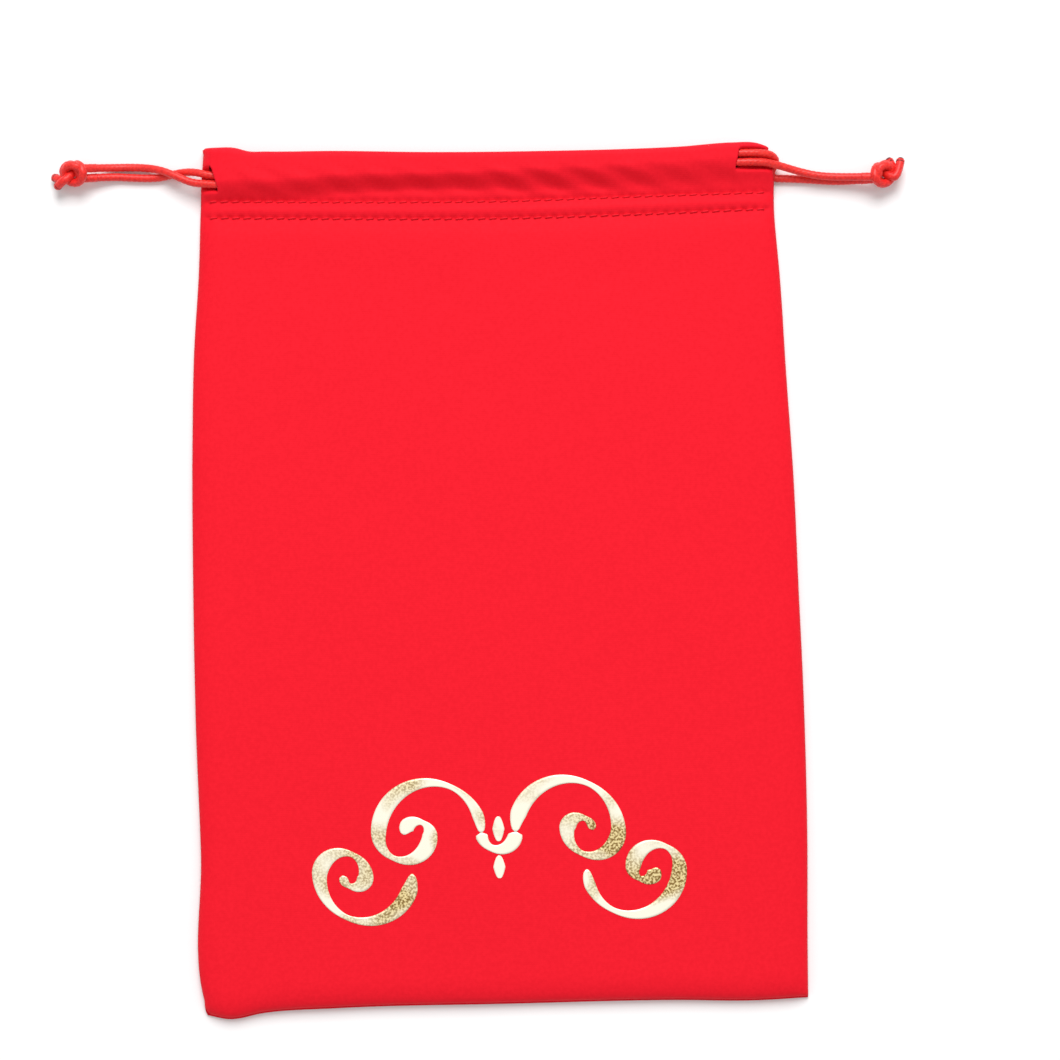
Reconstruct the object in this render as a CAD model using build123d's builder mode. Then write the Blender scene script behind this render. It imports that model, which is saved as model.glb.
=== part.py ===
"""Drawstring gift pouch: two cloth panels, a casing round the mouth and two drawcords.

Frame, in millimetres: +X to the right, +Y towards the mouth, +Z up out of the front.
The pouch lies flat on its back. The origin is at the middle of the back, on the surface it lies on.
"""
from build123d import *
from math import atan, cos, degrees, hypot, pi, radians, sin, tan
import os

# Driving dimensions -------------------------------------------------------------
pouch_length = 254.0        # bottom edge to top fold
pouch_width = 178.0         # across the full body
shoulder_width = 174.0      # half way up the stretch that the gathers draw in
mouth_width = 166.0         # across the top fold
gather_length = 117.0       # stretch of the side edges that leans in towards the mouth
cloth = 0.45                # satin cloth
corner_radius = 4.0         # bottom corners

cord_diameter = 2.3
cord_clearance = 0.25       # between a cord and the cloth of its tunnel
wrap_inset = 18.0           # where a cord turns at the far side, in from the side edge
mouth_gap = 5.0             # between the front and the back hem

opening_below_fold = 3.2    # cloth between the top fold and a cord opening
strand_gap = 0.4            # between the two strands of one cord, along the side edge
cord_gap = 1.3              # between the two cords, so that they pass each other
strand_step = 0.2           # how much further from the fold the right cord's front strand runs
row_spacing = 5.3           # upper row to lower row
hem_tail = 3.0              # hem cloth below the lower row
hem_ramp = 2.2              # where the tunnel closes above the upper row

flank_run = 12.0            # width of the slope from the side edge up to the front
seam_allowance = 8.0        # cloth turned in along the sides and the bottom
opening_depth = 13.5        # cord opening, in from the side edge
opening_margin = 0.4        # between the outermost strands and the ends of a cord opening

stitch_pitch = 3.26
stitch_length = 2.5
thread_width = 0.4
thread_height = 0.25
seam_inset = 2.0            # side and bottom stitches, in from the edge
backstitch_gap = 1.0        # between the two rows that close a corner above a cord opening

knot_radius = 3.3           # core of a stopper knot
knot_length = 10.0
knot_turn_radius = 2.9      # a turn of cord round the core, at its middle
knot_rounding = 0.7         # of the core's ends, as a share of its radius
knot_turns = [(60, 25), (115, -20)]     # tilt and heading of the two turns, in degrees

lying_gap = 0.1             # under a cord that lies on the surface
edge_gap = 0.05             # under a cord that crosses the edge of the back panel
crossing_rise = 1.3         # rise of a cord that lies over another, in cord diameters
knot_gap = 0.15             # under a knot
socket_depth = 3.0          # of a strand's straight end, cut out of the knot that it runs into
bend_share = 0.45           # of the shorter run beside a corner of a cord's route, taken by its bend

foil_thickness = 0.1
foil_stroke = 3.4           # width of a stroke of the ornament
foil_offset = -1.4          # middle of the ornament, to the left of the middle of the pouch
foil_above_bottom = 48.3
scroll_share = 0.5          # each half turn of a scroll against the one before

# Places that follow from them ---------------------------------------------------
half_length = pouch_length / 2
half_width = pouch_width / 2
half_mouth = mouth_width / 2
cord_radius = cord_diameter / 2

tunnel_height = cord_diameter + 2 * cord_clearance
back_hem_top = tunnel_height + 2 * cloth
front_hem_bottom = back_hem_top + mouth_gap
body_top = front_hem_bottom + 2 * cloth
mouth_top = body_top + tunnel_height
seam_bottom = 2 * cloth                 # the front's turned-in edge lies on the back's
seam_top = seam_bottom + cloth
flank_rise = mouth_top - seam_bottom

# How far below the top fold each strand runs in its tunnel, from the top down. They set the
# depth of the casing and the length of the cord openings.
right_back_run = opening_below_fold + opening_margin + cord_radius
right_front_run = right_back_run + strand_step
left_back_run = right_front_run + cord_diameter + cord_gap
left_front_run = left_back_run + cord_diameter + strand_gap
tunnel_depth = left_front_run + cord_radius + cord_clearance
casing_depth = tunnel_depth + hem_ramp + thread_width
opening_length = left_front_run + cord_radius + opening_margin - opening_below_fold

upper_row_y = half_length - casing_depth
lower_row_y = upper_row_y - row_spacing
hem_end_y = lower_row_y - hem_tail
ramp_low_y = upper_row_y + thread_width
ramp_high_y = half_length - tunnel_depth
opening_top_y = half_length - opening_below_fold
opening_low_y = opening_top_y - opening_length

front_cord_z = body_top + tunnel_height / 2 - cloth
back_cord_z = cloth + tunnel_height / 2
wrap_x = half_mouth - wrap_inset        # where a cord turns from the front into the back
hem_half_width = wrap_x - cord_radius - cord_clearance
floor_z = cord_radius + lying_gap       # centre of a cord lying on the surface
edge_z = floor_z + cloth + edge_gap     # centre of a cord crossing the edge of the back
over_z = floor_z + crossing_rise * cord_diameter        # centre of a cord lying over another
knot_z = knot_turn_radius + cord_radius + knot_gap


# Cloth --------------------------------------------------------------------------
def outline(extra=0, corner=corner_radius):
    """Plan of the pouch. Its sides lean in over the gathers; extra carries them on past the fold."""
    lean = (mouth_width - shoulder_width) / gather_length
    side = [
        (half_width, half_length - gather_length),
        (shoulder_width / 2, half_length - gather_length / 2),
        (half_mouth + lean * extra, half_length + extra),
    ]
    corners = [(half_width, -half_length)] + side
    with BuildLine() as edge:
        Polyline(corners + [(-x, y) for x, y in reversed(corners)], close=True)
    make_face(edge.edges())
    if corner:
        fillet([v for v in vertices() if v.Y < 0], corner)


def stuffed_form(inset, drop):
    """The pouch as a solid block with sloping flanks and a raised casing, inset all round by a wall."""
    with BuildSketch(Plane.XY.offset(seam_bottom)) as plan:
        outline(extra=2 * flank_run, corner=0)
        if inset:
            offset(amount=-inset, kind=Kind.INTERSECTION)
    extrude(plan.sketch, amount=flank_rise, taper=degrees(atan(flank_run / flank_rise)))
    with BuildSketch(Plane.YZ) as side_view:
        with BuildLine() as profile:
            Polyline(
                (-pouch_length, seam_bottom),
                (pouch_length, seam_bottom),
                (pouch_length, mouth_top - drop),
                (ramp_high_y - drop / 2, mouth_top - drop),
                (ramp_low_y - drop / 2, body_top - drop),
                (-pouch_length, body_top - drop),
                close=True,
            )
        make_face(profile.edges())
    extrude(side_view.sketch, amount=pouch_width, both=True, mode=Mode.INTERSECT)


def turned_in_edge(z):
    """Cloth turned in along the sides and the bottom, up to the casing, as a flat strip."""
    with BuildSketch(Plane.XY.offset(z)) as strip:
        outline()
        offset(amount=-seam_allowance, mode=Mode.SUBTRACT)
        with Locations((0, half_length)):
            Rectangle(pouch_width, 2 * (half_length - upper_row_y), mode=Mode.SUBTRACT)
    extrude(strip.sketch, amount=cloth)


def closed_corners(z):
    """The short stretch of turned-in cloth between each cord opening and the top fold."""
    with BuildSketch(Plane.XY.offset(z)) as corners:
        outline()
        with Locations((0, opening_top_y - half_length)):
            Rectangle(2 * pouch_width, pouch_length, mode=Mode.SUBTRACT)
        Rectangle(mouth_width - 2 * seam_allowance, 2 * pouch_length, mode=Mode.SUBTRACT)
    extrude(corners.sketch, amount=cloth)


with BuildPart() as back_panel:
    with BuildSketch():
        outline()
    extrude(amount=cloth)
    turned_in_edge(cloth)
    closed_corners(cloth)
    with BuildSketch(Plane.YZ):
        with BuildLine():
            Polyline(
                (half_length - cloth, cloth),
                (half_length, cloth),
                (half_length, back_hem_top),
                (ramp_high_y, back_hem_top),
                (ramp_low_y, 2 * cloth),
                (hem_end_y, 2 * cloth),
                (hem_end_y, cloth),
                (ramp_low_y + cloth / 2, cloth),
                (ramp_high_y + cloth / 2, back_hem_top - cloth),
                (half_length - cloth, back_hem_top - cloth),
                close=True,
            )
        make_face()
    extrude(amount=hem_half_width, both=True)


with BuildPart() as outer_form:
    stuffed_form(inset=0, drop=0)

with BuildPart() as inner_form:
    stuffed_form(inset=cloth * hypot(flank_run, flank_rise) / flank_rise, drop=cloth)

with BuildPart() as front_panel:
    add(outer_form.part)
    add(inner_form.part, mode=Mode.SUBTRACT)
    with BuildSketch():
        outline()
    extrude(amount=mouth_top, mode=Mode.INTERSECT)
    turned_in_edge(seam_bottom)
    closed_corners(seam_bottom)
    with BuildSketch(Plane.YZ):
        with BuildLine():
            Polyline(
                (half_length - cloth, mouth_top),
                (half_length, mouth_top),
                (half_length, front_hem_bottom),
                (hem_end_y, front_hem_bottom),
                (hem_end_y, front_hem_bottom + cloth),
                (half_length - cloth, front_hem_bottom + cloth),
                close=True,
            )
        make_face()
    extrude(amount=hem_half_width, both=True)
    with Locations((0, opening_low_y, seam_top)):
        for side in (-1, 1):
            with Locations((side * half_width, 0, 0)):
                Box(
                    2 * (half_width - half_mouth + opening_depth),
                    opening_length,
                    2 * mouth_top,
                    align=(Align.CENTER, Align.MIN, Align.CENTER),
                    mode=Mode.SUBTRACT,
                )


# Thread -------------------------------------------------------------------------
on_surface = (Align.CENTER, Align.CENTER, Align.MIN)
row_length = 2 * (half_mouth - flank_run)


def stitch_row(row_y, z, length):
    """One straight row of separate stitches along X, centred on the pouch."""
    with Locations((0, row_y, z)):
        with GridLocations(stitch_pitch, 1, int(length / stitch_pitch), 1):
            Box(stitch_length, thread_width, thread_height, align=on_surface)


def edge_at(y):
    """Half width of the pouch at a height up its side, and how far the edge leans in, in degrees."""
    middle_y = half_length - gather_length / 2
    if y < half_length - gather_length:
        return half_width, 0
    low = (half_width, half_length - gather_length)
    high = (shoulder_width / 2, middle_y)
    if y > middle_y:
        low, high = high, (half_mouth, half_length)
    lean = (low[0] - high[0]) / (high[1] - low[1])
    return low[0] - lean * (y - low[1]), degrees(atan(lean))


def side_stitches(low_y, high_y, side, inset=seam_inset):
    """Separate stitches up one side edge, on the turned-in cloth just inside the fold."""
    count = max(1, int((high_y - low_y) / stitch_pitch))
    for step in range(count):
        y = low_y + (step + 0.5) * stitch_pitch
        x, lean = edge_at(y)
        with Locations(Location((side * (x - inset), y, seam_top), (0, 0, side * lean))):
            Box(thread_width, stitch_length, thread_height, align=on_surface)


with BuildPart() as casing_upper_stitching:
    stitch_row(upper_row_y, body_top, row_length)
    stitch_row(upper_row_y, 2 * cloth, 2 * hem_half_width)

with BuildPart() as casing_lower_stitching:
    stitch_row(lower_row_y, body_top, row_length)
    stitch_row(lower_row_y, 2 * cloth, 2 * hem_half_width)

seam_low_y = -half_length + corner_radius + stitch_pitch
with BuildPart() as left_side_seam_stitching:
    side_stitches(seam_low_y, upper_row_y, -1)

with BuildPart() as right_side_seam_stitching:
    side_stitches(seam_low_y, upper_row_y, 1)

with BuildPart() as bottom_seam_stitching:
    stitch_row(-half_length + seam_inset, seam_top, 2 * (half_width - corner_radius - stitch_pitch))

with BuildPart() as left_opening_stitching:
    for row in range(2):
        side_stitches(opening_top_y, half_length, -1, seam_inset + row * backstitch_gap)

with BuildPart() as right_opening_stitching:
    for row in range(2):
        side_stitches(opening_top_y, half_length, 1, seam_inset + row * backstitch_gap)


# Foil ---------------------------------------------------------------------------
def scroll(x, y, radius, start, sweep):
    """A stroke of foil that curls in, as half circles that each shrink by the same share."""
    for _ in range(3):
        SlotArc(CenterArc((x, y), radius, start, sweep, mode=Mode.PRIVATE), foil_stroke)
        start += sweep
        x += radius * (1 - scroll_share) * cos(radians(start))
        y += radius * (1 - scroll_share) * sin(radians(start))
        radius *= scroll_share


with BuildPart() as foil_motif:
    with BuildSketch(Plane.XY.offset(body_top)):
        with Locations((foil_offset, foil_above_bottom - half_length)):
            SlotArc(CenterArc((0, 4), 5, 180, 180, mode=Mode.PRIVATE), foil_stroke)
            scroll(20, 4, 15, 180, -180)
            scroll(39, -7.5, 13.5, 180, 180)
            mirror(about=Plane.YZ)
            Ellipse(2.4, 4.6)
    extrude(amount=foil_thickness)


# Cords --------------------------------------------------------------------------
# A tail's points run from the knot to the tunnel. Each is how far out from the side edge at that
# height, how far below the top fold, and how high.
left_front_tail = [
    (32.9, 4.9, knot_z + 0.7),
    (25.7, 4.5, floor_z),
    (17.7, 4.6, floor_z),
    (10.0, 6.6, over_z),
    (4.4, 9.3, over_z + 0.8),
    (-3.8, 11.1, over_z + 3.4),
    (-12.3, left_front_run, front_cord_z),
]
left_back_tail = [
    (32.7, 7.6, knot_z - 0.7),
    (26.0, 7.1, floor_z),
    (18.5, 7.8, floor_z),
    (11.5, 7.6, floor_z),
    (6.0, 6.8, floor_z),
    (-0.5, 7.2, edge_z),
    (-9.6, left_back_run, back_cord_z),
]
right_front_tail = [
    (28.1, 13.6, knot_z + 1.5),
    (19.6, 13.2, over_z - 0.2),
    (11.7, 12.3, over_z - 0.3),
    (5.3, 10.3, over_z),
    (-1.1, 8.8, over_z + 2.0),
    (-7.5, 8.0, over_z + 4.7),
    (-13.3, right_front_run, front_cord_z),
]
right_back_tail = [
    (28.0, 13.9, knot_z - 1.1),
    (19.3, 14.0, floor_z),
    (10.6, 13.2, floor_z),
    (3.6, 13.0, floor_z),
    (-0.2, 11.2, edge_z),
    (0.7, 8.0, edge_z),
    (-2.9, 5.6, edge_z),
    (-9.8, right_back_run, back_cord_z),
]


def placed(tail, side):
    """A tail's points in the part's frame."""
    points = []
    for out, down, up in tail:
        y = half_length - down
        points.append((side * (edge_at(y)[0] + out), y, up))
    return points


def stopper_knot(centre, tips):
    """Overhand knot in both ends of a cord: a rounded core, two turns round it and the cut ends."""
    with Locations(Location(centre, (0, 90, 0))):
        Cylinder(knot_radius, knot_length)
    fillet(edges().filter_by(GeomType.CIRCLE), knot_radius * knot_rounding)
    for tilt, heading in knot_turns:
        with Locations(Location(centre, (0, tilt, heading))):
            Torus(knot_turn_radius, cord_radius)
    for tip in tips:
        reach = Vector(*tip) - Vector(*centre)
        with BuildSketch(Plane(origin=centre, z_dir=reach)) as cut_end:
            Circle(cord_radius)
        extrude(cut_end.sketch, amount=reach.length)


def strand_sockets(*routes):
    """Room in a knot for the ends of the strands that run into it, straight along their first run."""
    for end, after, *_ in routes:
        with BuildSketch(Plane(origin=end, z_dir=Vector(*after) - Vector(*end))) as section:
            Circle(cord_radius)
        extrude(section.sketch, amount=socket_depth, mode=Mode.SUBTRACT)


def cord_route(front_tail, back_tail, side):
    """Knot, front tunnel, round the far end of the casing, back tunnel and out to the knot again."""
    front, back = placed(front_tail, side), placed(back_tail, side)
    wrap_radius = (front_cord_z - back_cord_z) / 2
    far_x = -side * (wrap_x + wrap_radius)
    front_corner = (far_x, front[-1][1], front_cord_z)
    back_corner = (far_x, back[-1][1], back_cord_z)
    points = front + [front_corner, back_corner] + back[::-1]
    radii = []
    for before, corner, after in zip(points, points[1:], points[2:]):
        run_in = Vector(*corner) - Vector(*before)
        run_out = Vector(*after) - Vector(*corner)
        turn = radians(run_in.get_angle(run_out))
        radii.append(bend_share * min(run_in.length, run_out.length) / tan(turn / 2))
    return points, radii


def report_cord(name, route, radii, tube):
    """Print a cord's length, its bend radii, and its volume against its section times its length."""
    length = route.wire().length
    ratio = tube.volume / (pi * cord_radius**2 * length)
    print(f"{name}: length {length:.1f} mm, volume / (section x length) {ratio:.4f}")
    print(f"{name}: radii {[round(radius, 1) for radius in radii]}")


with BuildPart() as left_drawcord:
    left_points, left_radii = cord_route(left_front_tail, left_back_tail, -1)
    with BuildLine() as left_route:
        FilletPolyline(left_points, radius=left_radii)
    with BuildSketch(left_route.wire() ^ 0):
        Circle(cord_radius)
    sweep()

with BuildPart() as right_drawcord:
    right_points, right_radii = cord_route(right_front_tail, right_back_tail, 1)
    with BuildLine() as right_route:
        FilletPolyline(right_points, radius=right_radii)
    with BuildSketch(right_route.wire() ^ 0):
        Circle(cord_radius)
    sweep()

report_cord("left_drawcord", left_route, left_radii, left_drawcord.part)
report_cord("right_drawcord", right_route, right_radii, right_drawcord.part)

# A knot's middle and its two cut tips, measured as a tail's points are.
left_knot_places = [(36.7, 6.3, knot_z), (40.9, 9.9, 1.5), (42.9, 7.2, 1.8)]
right_knot_places = [(32.0, 12.9, knot_z), (34.4, 8.4, 2.2), (37.7, 8.2, 1.7)]

with BuildPart() as left_knot:
    left_knot_centre, *left_tips = placed(left_knot_places, -1)
    stopper_knot(left_knot_centre, left_tips)
    strand_sockets(left_points, left_points[::-1])

with BuildPart() as right_knot:
    right_knot_centre, *right_tips = placed(right_knot_places, 1)
    stopper_knot(right_knot_centre, right_tips)
    strand_sockets(right_points, right_points[::-1])


# Files --------------------------------------------------------------------------
pieces = {
    "front_panel": front_panel,
    "back_panel": back_panel,
    "casing_upper_stitching": casing_upper_stitching,
    "casing_lower_stitching": casing_lower_stitching,
    "left_side_seam_stitching": left_side_seam_stitching,
    "right_side_seam_stitching": right_side_seam_stitching,
    "bottom_seam_stitching": bottom_seam_stitching,
    "left_opening_stitching": left_opening_stitching,
    "right_opening_stitching": right_opening_stitching,
    "foil_motif": foil_motif,
    "left_drawcord": left_drawcord,
    "right_drawcord": right_drawcord,
    "left_knot": left_knot,
    "right_knot": right_knot,
}
os.makedirs("parts", exist_ok=True)
for name, piece in pieces.items():
    piece.part.label = name
    export_step(piece.part, f"parts/{name}.step")
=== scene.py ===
# %% [markdown]
# # A drawstring gift pouch
#
# The pouch lies flat on its back. Each of its two panels is one piece of cloth that runs up from
# the bottom seam, folds over at the mouth and comes back down inside as a hem. Two rows of
# stitches close the tunnel that the drawcords run in.
#
# Lengths are in millimetres, in the part's own frame: +X right, +Y towards the mouth, +Z up.

# %% Frame and main sizes
import math

import bpy
import numpy as np
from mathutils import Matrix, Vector


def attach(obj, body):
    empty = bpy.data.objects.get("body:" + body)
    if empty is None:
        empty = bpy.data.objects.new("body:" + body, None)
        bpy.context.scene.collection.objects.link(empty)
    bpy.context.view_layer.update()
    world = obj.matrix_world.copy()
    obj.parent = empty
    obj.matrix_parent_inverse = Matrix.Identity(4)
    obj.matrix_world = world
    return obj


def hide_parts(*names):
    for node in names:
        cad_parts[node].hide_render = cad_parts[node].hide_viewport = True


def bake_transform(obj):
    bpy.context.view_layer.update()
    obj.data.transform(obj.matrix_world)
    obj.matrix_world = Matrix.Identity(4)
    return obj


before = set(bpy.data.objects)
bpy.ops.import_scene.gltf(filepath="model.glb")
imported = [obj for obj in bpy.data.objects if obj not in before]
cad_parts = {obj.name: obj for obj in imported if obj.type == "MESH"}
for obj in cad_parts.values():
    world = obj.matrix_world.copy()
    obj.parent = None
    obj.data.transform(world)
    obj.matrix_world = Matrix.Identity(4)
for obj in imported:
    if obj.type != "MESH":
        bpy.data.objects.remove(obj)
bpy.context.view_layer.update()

MM = 0.001
CLOTH = 0.4         # thickness of the satin
CORD = 2.3          # diameter of a drawcord
PITCH = 3.26        # from one stitch to the next
ROW_1 = 14.2        # upper row of stitches, below the top fold
ROW_2 = 19.5        # lower row
HEM = 23.0          # how far the hem reaches down inside
LENGTH = 249.5      # top fold to bottom seam

# %% [markdown]
# ## Camera, floor and light
#
# The camera looks straight down and is turned a degree and a half against the pouch. A long lens
# keeps the outline square. One large soft light stands beyond the mouth: it lets cloth that slopes
# away from the mouth go darker, and lays a short soft shadow on the near side of every cord.

# %% Camera
VIEW_WIDTH = 311.1
VIEW_CENTRE = (10.1, 13.2)
VIEW_TURN = -1.5
SENSOR = 36.0
LENS = 100.0


def add_camera():
    data = bpy.data.cameras.new("camera")
    data.sensor_width = SENSOR
    data.lens = LENS
    data.clip_start = 0.01
    camera = bpy.data.objects.new("camera", data)
    distance = VIEW_WIDTH * LENS / SENSOR
    camera.location = (VIEW_CENTRE[0] * MM, VIEW_CENTRE[1] * MM, distance * MM)
    camera.rotation_euler = (0, 0, math.radians(VIEW_TURN))
    bpy.context.collection.objects.link(camera)
    bpy.context.scene.camera = camera


add_camera()


# %% Floor, light and surroundings
FLOOR_SIZE = 6                      # this and the next two are in metres
WINDOW_PLACE = (0.1, 1.45, 1.65)
WINDOW_SIZE = 1.2
WINDOW_POWER = 41
SURROUNDINGS = 0.62


def add_floor():
    bpy.ops.mesh.primitive_plane_add(size=FLOOR_SIZE)
    floor = bpy.context.object
    floor.name = "floor"
    paper = bpy.data.materials.new("white_paper_sweep")
    paper.use_nodes = True
    shader = paper.node_tree.nodes["Principled BSDF"]
    shader.inputs["Base Color"].default_value = (0.92, 0.92, 0.92, 1)
    shader.inputs["Roughness"].default_value = 0.9
    shader.inputs["Specular IOR Level"].default_value = 0.1
    floor.data.materials.append(paper)


def add_light(name, position, size, power):
    """A square soft light that faces the pouch."""
    data = bpy.data.lights.new(name, "AREA")
    data.size = size
    data.energy = power
    lamp = bpy.data.objects.new(name, data)
    lamp.location = position
    lamp.rotation_euler = Vector(position).to_track_quat("Z", "Y").to_euler()
    bpy.context.collection.objects.link(lamp)


def add_surroundings(strength):
    world = bpy.data.worlds.new("surroundings")
    world.use_nodes = True
    background = world.node_tree.nodes["Background"]
    background.inputs["Color"].default_value = (1, 1, 1, 1)
    background.inputs["Strength"].default_value = strength
    bpy.context.scene.world = world


add_floor()
add_light("window", WINDOW_PLACE, WINDOW_SIZE, WINDOW_POWER)
add_surroundings(SURROUNDINGS)
bpy.context.scene.view_settings.view_transform = "Standard"

# %% [markdown]
# ## Materials
#
# Colours are given as sRGB hex, as a swatch is read, and turned to the linear values that shaders
# take. Every pattern is laid out in object coordinates, in metres, so its scale is one over a real
# size. One helper adds a node with its settings and its links.

# %% Helpers for materials
def linear(hex_colour):
    """An sRGB hex colour as linear red, green, blue and alpha."""
    levels = [int(hex_colour[i:i + 2], 16) / 255 for i in (1, 3, 5)]
    return (*[v / 12.92 if v <= 0.04045 else ((v + 0.055) / 1.055) ** 2.4 for v in levels], 1)


def finish(name, roughness, ior=1.5, metallic=0.0, specular=0.5):
    """A new material, and its shader with the values that are the same all over."""
    material = bpy.data.materials.new(name)
    material.use_nodes = True
    shader = material.node_tree.nodes["Principled BSDF"]
    shader.inputs["Roughness"].default_value = roughness
    shader.inputs["IOR"].default_value = ior
    shader.inputs["Metallic"].default_value = metallic
    shader.inputs["Specular IOR Level"].default_value = specular
    return material, shader


def add_node(material, kind, settings=None, links=None):
    """Add a node, set what settings names on it or its sockets, and plug links into its sockets."""
    made = material.node_tree.nodes.new("ShaderNode" + kind)
    for key, value in (settings or {}).items():
        if hasattr(made, key):
            setattr(made, key, value)
        else:
            made.inputs[key].default_value = value
    for key, output in (links or {}).items():
        material.node_tree.links.new(output, made.inputs[key])
    return made


def two_tone(material, pattern, low, dark, high, light):
    """Colours between two hex tones, where the pattern runs from low to high."""
    ramp = add_node(material, "ValToRGB", links={"Fac": pattern})
    ramp.color_ramp.elements[0].position = low
    ramp.color_ramp.elements[0].color = linear(dark)
    ramp.color_ramp.elements[1].position = high
    ramp.color_ramp.elements[1].color = linear(light)
    return ramp.outputs["Color"]


# %% [markdown]
# ### Polyester satin
#
# The cloth is a woven polyester satin, seen from its matt side. Polyester has an IOR of about 1.57;
# the floats of the weave scatter light, so it is rough with little gloss. Real threads lie about
# 0.15 mm apart, too fine to show, so the weave is drawn at 0.55 mm, and long slubs across the
# width give the faint streaks of a satin.

# %% Cloth
WEAVE = 0.00055         # one thread as drawn, in metres
WAVE_PERIOD = 0.31      # one band of a wave pattern whose scale is 1


def satin_cloth():
    material, shader = finish("red_polyester_satin", 0.68, 1.57, specular=0.08)
    place = add_node(material, "TexCoord").outputs["Object"]
    fibre = add_node(material, "TexNoise", {"Scale": 900, "Detail": 3}, {"Vector": place})
    colour = two_tone(material, fibre.outputs["Fac"], 0.35, "#E51527", 0.65, "#EB182A")
    material.node_tree.links.new(colour, shader.inputs["Base Color"])
    wave = {"Scale": WAVE_PERIOD / WEAVE, "Distortion": 0.8}
    weft = add_node(material, "TexWave", {"bands_direction": "Y", **wave}, {"Vector": place})
    warp = add_node(material, "TexWave", {"bands_direction": "X", **wave}, {"Vector": place})
    weave = add_node(material, "Math", {"operation": "MULTIPLY"})
    material.node_tree.links.new(weft.outputs["Fac"], weave.inputs[0])
    material.node_tree.links.new(warp.outputs["Fac"], weave.inputs[1])
    stretched = add_node(material, "Mapping", {"Scale": (60, 900, 300)}, {"Vector": place})
    slub = add_node(
        material, "TexNoise", {"Scale": 1.0, "Detail": 2}, {"Vector": stretched.outputs["Vector"]}
    )
    relief = add_node(material, "Math", {"operation": "MULTIPLY_ADD"})
    relief.inputs[1].default_value = 0.6
    material.node_tree.links.new(slub.outputs["Fac"], relief.inputs[0])
    material.node_tree.links.new(weave.outputs["Value"], relief.inputs[2])
    bump = add_node(
        material, "Bump", {"Strength": 0.3, "Distance": 0.00006}, {"Height": relief.outputs["Value"]}
    )
    material.node_tree.links.new(bump.outputs["Normal"], shader.inputs["Normal"])
    return material


SATIN = satin_cloth()

# %% [markdown]
# ### Satin cord and its singed ends
#
# The drawcord is rattail: a fine braid of glossy rayon over a soft core. It reads more orange than
# the cloth because its fibres run along it and catch the light. The braid itself is geometry; the
# material adds filaments 0.25 mm apart and a sheen. A hot blade cut the ends, which melted them
# into small dark brown beads.

# %% Cord, singed tips and sewing thread
def rattail_cord():
    material, shader = finish("red_rattail_rayon", 0.42, 1.53, specular=0.4)
    place = add_node(material, "TexCoord").outputs["Object"]
    filament = add_node(material, "TexNoise", {"Scale": 1600, "Detail": 2}, {"Vector": place})
    colour = two_tone(material, filament.outputs["Fac"], 0.3, "#D01517", 0.7, "#F22D23")
    material.node_tree.links.new(colour, shader.inputs["Base Color"])
    shader.inputs["Sheen Weight"].default_value = 0.08
    shader.inputs["Sheen Roughness"].default_value = 0.35
    bump = add_node(
        material, "Bump", {"Strength": 0.35, "Distance": 0.00005},
        {"Height": filament.outputs["Fac"]},
    )
    material.node_tree.links.new(bump.outputs["Normal"], shader.inputs["Normal"])
    return material


def speckled(name, roughness, ior, specular, grain, dark, light):
    """A plain finish whose colour varies between two tones in grains of one size."""
    material, shader = finish(name, roughness, ior, specular=specular)
    place = add_node(material, "TexCoord").outputs["Object"]
    grains = add_node(material, "TexNoise", {"Scale": 1 / grain, "Detail": 2}, {"Vector": place})
    colour = two_tone(material, grains.outputs["Fac"], 0.3, dark, 0.7, light)
    material.node_tree.links.new(colour, shader.inputs["Base Color"])
    return material


CORD_SATIN = rattail_cord()
SINGED = speckled("singed_rayon", 0.35, 1.53, 0.5, 0.0006, "#35191A", "#8E1E20")
THREAD = speckled("spun_polyester_thread", 0.6, 1.57, 0.1, 0.0003, "#D41424", "#EE2032")

# %% [markdown]
# ### Printed foil
#
# The ornament is hot-stamped foil: a thin metal film pressed on to the cloth. Over a rough weave it
# takes unevenly. Where it took well it is pale and nearly white; elsewhere it breaks up into
# golden-brown specks about 0.6 mm across.

# %% Foil
def stamped_foil():
    material, shader = finish("hot_stamped_gold_foil", 0.38, 1.5, metallic=0.3)
    place = add_node(material, "TexCoord").outputs["Object"]
    patch = add_node(material, "TexNoise", {"Scale": 70, "Detail": 1}, {"Vector": place})
    speck = add_node(material, "TexNoise", {"Scale": 1500, "Detail": 2}, {"Vector": place})
    thin = add_node(
        material, "MapRange", {"From Min": 0.47, "From Max": 0.66}, {"Value": patch.outputs["Fac"]}
    )
    grain = add_node(
        material, "MapRange", {"From Min": 0.42, "From Max": 0.58}, {"Value": speck.outputs["Fac"]}
    )
    worn = add_node(material, "Math", {"operation": "MULTIPLY"})
    material.node_tree.links.new(thin.outputs["Result"], worn.inputs[0])
    material.node_tree.links.new(grain.outputs["Result"], worn.inputs[1])
    pale = two_tone(material, thin.outputs["Result"], 0.0, "#FFFAE6", 1.0, "#F2DDA0")
    colour = add_node(
        material, "Mix", {"data_type": "RGBA", "B": linear("#8A6A30")},
        {"Factor": worn.outputs["Value"], "A": pale},
    )
    material.node_tree.links.new(colour.outputs["Result"], shader.inputs["Base Color"])
    return material


FOIL = stamped_foil()
print("materials", [m.name for m in (SATIN, CORD_SATIN, SINGED, THREAD, FOIL)])
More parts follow.
